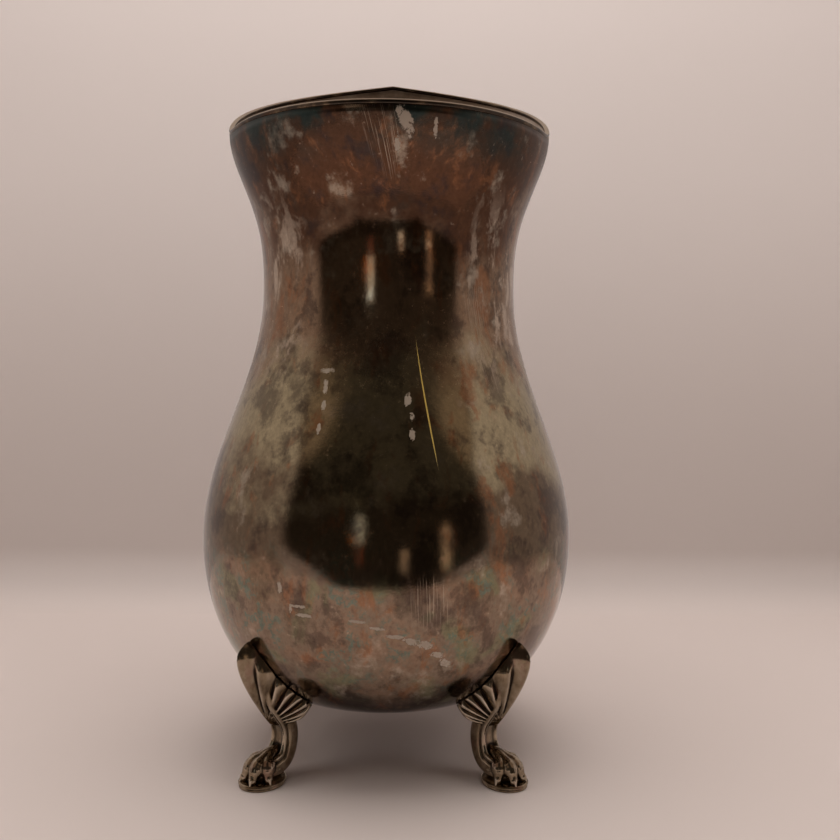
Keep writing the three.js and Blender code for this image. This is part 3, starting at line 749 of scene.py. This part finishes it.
palm = bmesh.ops.create_uvsphere(casting, u_segments=32, v_segments=20, radius=1)["verts"]
bmesh.ops.scale(casting, verts=palm, vec=(PLINTH_LENGTH * 0.40, PLINTH_WIDTH * 0.36, PAW_HEIGHT / 2 - 0.0013))
bmesh.ops.translate(casting, verts=palm, vec=(PAW_RADIUS - 0.0014, 0, 0.0038))
instep = Vector((PAW_RADIUS - 0.0056, 0, 0.0092))
for toe_turn in TOE_TURNS:
    ahead = Vector((cos(radians(toe_turn)), 0.97 * sin(radians(toe_turn)), 0))
    reach = PLINTH_LENGTH * (0.36 if abs(toe_turn) < 45 else 0.325)
    middle = Vector((PAW_RADIUS, 0, 0))
    arch = middle + ahead * reach * 0.42 + Vector((0, 0, 0.0092))
    knuckle = middle + ahead * reach + Vector((0, 0, 0.0030))
    for bead in range(TOE_BEADS):
        share = bead / (TOE_BEADS - 1)
        centre = instep * (1 - share) ** 2 + arch * 2 * share * (1 - share) + knuckle * share ** 2
        made = bmesh.ops.create_uvsphere(
            casting, u_segments=20, v_segments=14, radius=toe_size(share))["verts"]
        bmesh.ops.translate(casting, verts=made, vec=centre)
    claw = bmesh.ops.create_cone(casting, cap_ends=True, segments=14, radius1=0.0007, radius2=0.0003,
                                 depth=CLAW_LENGTH)["verts"]
    claw_turn = Matrix.Rotation(radians(toe_turn), 3, "Z") @ Matrix.Rotation(radians(160), 3, "Y")
    bmesh.ops.rotate(casting, verts=claw, cent=(0, 0, 0), matrix=claw_turn)
    bmesh.ops.translate(casting, verts=claw, vec=knuckle + ahead * 0.0012 - Vector((0, 0, 0.0004)))
bmesh.ops.recalc_face_normals(casting, faces=casting.faces)


def fused(shape, voxel, smoothing):
    """Joins a bmesh's overlapping forms into one skin, as a casting is, and softens it."""
    rough = bpy.data.objects.new("rough", bpy.data.meshes.new("rough"))
    shape.to_mesh(rough.data)
    shape.free()
    bpy.context.scene.collection.objects.link(rough)
    remesh = rough.modifiers.new("fuse", "REMESH")
    remesh.mode = "VOXEL"
    remesh.voxel_size = voxel
    skinned = rough.evaluated_get(bpy.context.evaluated_depsgraph_get()).to_mesh()
    skin = bmesh.new()
    skin.from_mesh(skinned)
    rough.to_mesh_clear()
    bpy.data.objects.remove(rough)
    for _ in range(smoothing):
        bmesh.ops.smooth_vert(skin, verts=skin.verts, factor=0.5, use_axis_x=True, use_axis_y=True,
                              use_axis_z=True)
    return skin


def mark_hollows(skin, passes):
    """Stores how deep each point lies below its surroundings, in millimetres, as "hollow"."""
    layer = skin.verts.layers.float.new("hollow")
    flattened = skin.copy()
    for _ in range(passes):
        bmesh.ops.smooth_vert(flattened, verts=flattened.verts, factor=1.0, use_axis_x=True, use_axis_y=True,
                              use_axis_z=True)
    skin.normal_update()
    for vertex, softened in zip(skin.verts, flattened.verts):
        vertex[layer] = (softened.co - vertex.co).dot(vertex.normal) * 1000
    flattened.free()


casting = fused(casting, FOOT_VOXEL, 2)
for vertex in casting.verts:
    # keep clear of the bowl by the solder's thickness
    radius = hypot(vertex.co.x, vertex.co.y)
    across = (radius - BASE_RADIUS) / (BELLY_RADIUS - BASE_RADIUS + GAP)
    down = (BELLY_HEIGHT - vertex.co.z) / (BELLY_HEIGHT - BASE_HEIGHT + GAP)
    inside_share = hypot(across, down)
    if radius > BASE_RADIUS and inside_share < 1:
        pushed = BASE_RADIUS + (radius - BASE_RADIUS) / inside_share
        vertex.co.x *= pushed / radius
        vertex.co.y *= pushed / radius
        vertex.co.z = BELLY_HEIGHT - (BELLY_HEIGHT - vertex.co.z) / inside_share
mark_hollows(casting, 20)

plinth = spun([
    Vector((0, 0, 0)), Vector((0.95, 0, 0)), Vector((0.97, 0, 0.08)), Vector((0.97, 0, 0.40)),
    Vector((0.94, 0, 0.46)), Vector((0.97, 0, 0.52)), Vector((1.0, 0, 0.64)), Vector((1.0, 0, 0.80)),
    Vector((0.97, 0, 0.94)), Vector((0.92, 0, 1.0)), Vector((0, 0, 1.0))], 72, closed=False)
bmesh.ops.scale(plinth, verts=plinth.verts, vec=(PLINTH_LENGTH / 2, PLINTH_WIDTH / 2, PLINTH_THICKNESS))
bmesh.ops.translate(plinth, verts=plinth.verts, vec=(PAW_RADIUS, 0, 0))
plinth_mesh = bpy.data.meshes.new("plinth")
plinth.to_mesh(plinth_mesh)
plinth.free()
casting.from_mesh(plinth_mesh)
bpy.data.meshes.remove(plinth_mesh)


def cast_metal(name, stain_size):
    """Plate over a casting: worn pale on what stands proud, and painted shade, nearly black, in the hollows.
    """
    material, tree, spot = new_metal(name)
    hollow = node(tree, "Attribute", output=2, attribute_name="hollow")
    patches = cloudiness(tree, spot, 3.2, 1.6, 5.0, 0.6)
    tint = cloudiness(tree, spot, stain_size, 1.4, 3.0)
    colour = ramp(tree, patches, (0.30, (0.12, 0.085, 0.055)), (0.48, (0.25, 0.19, 0.125)),
                  (0.62, (0.35, 0.28, 0.20)), (0.75, (0.20, 0.115, 0.075)))
    colour = stained(tree, ease(tree, tint, 0.52, 0.66, 0.0, 0.5), colour, (0.27, 0.15, 0.12))
    colour = stained(tree, ease(tree, hollow, -0.04, -0.30, 0.0, 0.6), colour, (0.82, 0.74, 0.62))
    # painted shade: the hollows, and the gap where the casting meets the body, are painted nearly black
    colour = stained(tree, ease(tree, hollow, 0.0, 0.15, 0.0, 0.97), colour, (0.014, 0.009, 0.007))
    pits = node(tree, "Bump", {"Strength": 0.25, "Distance": 0.00015,
                               "Height": cloudiness(tree, spot, 1.2, 1.0, 4.0)})
    shader = node(tree, "BsdfPrincipled", {
        "Base Color": colour, "Metallic": 1.0, "Roughness": ease(tree, hollow, -0.1, 0.3, 0.13, 0.5),
        "Normal": pits})
    node(tree, "OutputMaterial", {0: shader})
    return material


foot_metal = cast_metal("cast_foot_plate", 5.0)
for name, place_turn in (("back_right", 45), ("back_left", 135), ("front_left", 225), ("front_right", 315)):
    one = casting.copy()
    bmesh.ops.rotate(one, verts=one.verts, cent=(0, 0, 0),
                     matrix=Matrix.Rotation(radians(place_turn), 3, "Z"))
    finish_piece("cast_foot_" + name, one, (foot_metal,), "foot_" + name)
casting.free()


# ---- Handle ------------------------------------------------------------------------------------
# A cast scroll handle, soldered to the back: an oval grip with a raised spine, a thumb scroll on
# top, and a curl with a ball end at its foot.
HANDLE_TOP_DROP = 0.012
HANDLE_FOOT_HEIGHT = 0.108
HANDLE_REACH = 0.046
HANDLE_WIDTH = 0.0125
HANDLE_THICKNESS = 0.0085
HANDLE_VOXEL = 0.00045
back_top = drawn_out(Vector((0, body_radius(SHELL_TOP), SHELL_TOP)))
top_radius, top_height = back_top.y, back_top.z - HANDLE_TOP_DROP
foot_radius, foot_height = body_radius(HANDLE_FOOT_HEIGHT), HANDLE_FOOT_HEIGHT
handle_rise = top_height - foot_height
handle_out = top_radius + HANDLE_REACH


def spined(width_at):
    """An oval bar with a raised spine down its outer side, and a fine groove each side of it."""
    def size(share, turn):
        around = degrees_from_outer(turn)
        ridge = 0.07 * exp(-(around / 16) ** 2) - 0.06 * exp(-((around - 34) / 10) ** 2)
        scale = width_at(share) * (1 + ridge)
        return HANDLE_WIDTH / 2 * scale * 0.93, HANDLE_THICKNESS / 2 * scale * 0.93
    return size


def grip_swelling(share):
    """The grip is thickest in its middle."""
    return 0.72 + 0.28 * sin(pi * share)


def scroll_taper(share):
    """A scroll thins towards its tip."""
    return 0.75 - 0.35 * share


handle = bmesh.new()
bent_bar(handle, curve_through([
    (top_radius - 0.004, top_height - 0.002),
    (top_radius + HANDLE_REACH * 0.22, top_height + 0.005),
    (top_radius + HANDLE_REACH * 0.55, top_height + 0.007),
    (top_radius + HANDLE_REACH * 0.88, top_height - handle_rise * 0.07),
    (handle_out, top_height - handle_rise * 0.27),
    (handle_out - HANDLE_REACH * 0.12, top_height - handle_rise * 0.52),
    (handle_out - HANDLE_REACH * 0.42, top_height - handle_rise * 0.78),
    (foot_radius + 0.008, foot_height + 0.003),
    (foot_radius - 0.004, foot_height - 0.001)]), spined(grip_swelling), 48, 200)
bent_bar(handle, curve_through([
    (handle_out - HANDLE_REACH * 0.40, top_height - handle_rise * 0.76),
    (handle_out - HANDLE_REACH * 0.44, foot_height + handle_rise * 0.10),
    (handle_out - HANDLE_REACH * 0.36, foot_height + handle_rise * 0.01),
    (handle_out - HANDLE_REACH * 0.20, foot_height + handle_rise * 0.03),
    (handle_out - HANDLE_REACH * 0.22, foot_height + handle_rise * 0.11)]),
    spined(scroll_taper), 36, 70)
bent_bar(handle, curve_through([
    (top_radius + HANDLE_REACH * 0.72, top_height + 0.003),
    (top_radius + HANDLE_REACH * 0.92, top_height + 0.005),
    (top_radius + HANDLE_REACH * 1.04, top_height - 0.001),
    (top_radius + HANDLE_REACH * 0.98, top_height - 0.006)]),
    spined(scroll_taper), 36, 50)
for radius, at_height, size in (
        (handle_out - HANDLE_REACH * 0.22, foot_height + handle_rise * 0.105, 0.0030),
        (top_radius + HANDLE_REACH * 0.975, top_height - 0.0058, 0.0028)):
    ball = bmesh.ops.create_uvsphere(handle, u_segments=24, v_segments=16, radius=size)["verts"]
    bmesh.ops.translate(handle, verts=ball, vec=(radius, 0, at_height))
bmesh.ops.recalc_face_normals(handle, faces=handle.faces)
handle = fused(handle, HANDLE_VOXEL, 2)
bmesh.ops.rotate(handle, verts=handle.verts, cent=(0, 0, 0), matrix=Matrix.Rotation(pi / 2, 3, "Z"))


def back_surface(height, from_back):
    """Radius of the drawn body's outside at a height, a small turn away from its back."""
    low, high = BELLY_HEIGHT, SHELL_TOP
    for _ in range(18):
        middle = (low + high) / 2
        radius = body_radius(middle)
        tried = drawn_out(Vector((radius * sin(from_back), radius * cos(from_back), middle)))
        if tried.z < height:
            low = middle
        else:
            high = middle
    return hypot(tried.x, tried.y)


def keep_off_back(shape):
    """Pushes what would reach into the wall out to the body's surface, by the solder's thickness."""
    for vertex in shape.verts:
        radius = hypot(vertex.co.x, vertex.co.y)
        if radius > top_radius + 0.006:
            continue
        surface = back_surface(vertex.co.z, atan2(vertex.co.x, vertex.co.y)) + GAP
        if radius < surface:
            vertex.co.x *= surface / radius
            vertex.co.y *= surface / radius


keep_off_back(handle)
mark_hollows(handle, 10)
handle_metal = cast_metal("cast_handle_plate", 11.0)
finish_piece("scroll_handle", handle, (handle_metal,), "handle")


# ---- Handle mounts -----------------------------------------------------------------------------
# A cast leaf lies on the body round each end of the handle, and hides the solder. Its lobes run
# out from the handle, with a raised rib down the middle.
MOUNT_HALF_WIDTH = 0.009
MOUNT_HALF_HEIGHT = 0.013
MOUNT_THICKNESS = 0.004
LEAF_LOBES = 11

for name, at_height in (("handle_upper_mount", top_height), ("handle_lower_mount", foot_height)):
    seat = back_surface(at_height, 0.0)
    lean = atan2(back_surface(at_height + 0.003, 0.0) - back_surface(at_height - 0.003, 0.0), 0.006)
    leaf = bmesh.new()
    bmesh.ops.create_uvsphere(leaf, u_segments=220, v_segments=40, radius=1)
    bmesh.ops.rotate(leaf, verts=leaf.verts, cent=(0, 0, 0), matrix=Matrix.Rotation(-pi / 2, 3, "X"))
    for vertex in leaf.verts:
        flat = hypot(vertex.co.x, vertex.co.z)
        turn = atan2(vertex.co.x, vertex.co.z)
        lobe = abs(cos(turn * LEAF_LOBES / 2))
        outline = 0.90 + 0.08 * lobe
        groove = 0.16 * (1 - lobe) * flat
        vertex.co = Vector((vertex.co.x * MOUNT_HALF_WIDTH * outline,
                            (vertex.co.y - groove) * MOUNT_THICKNESS * 0.95,
                            vertex.co.z * MOUNT_HALF_HEIGHT * outline))
    bmesh.ops.rotate(leaf, verts=leaf.verts, cent=(0, 0, 0), matrix=Matrix.Rotation(-lean, 3, "X"))
    bmesh.ops.translate(leaf, verts=leaf.verts, vec=(0, seat, at_height))
    bmesh.ops.recalc_face_normals(leaf, faces=leaf.faces)
    keep_off_back(leaf)
    mark_hollows(leaf, 8)
    finish_piece(name.replace("mount", "leaf"), leaf, (handle_metal,), name)
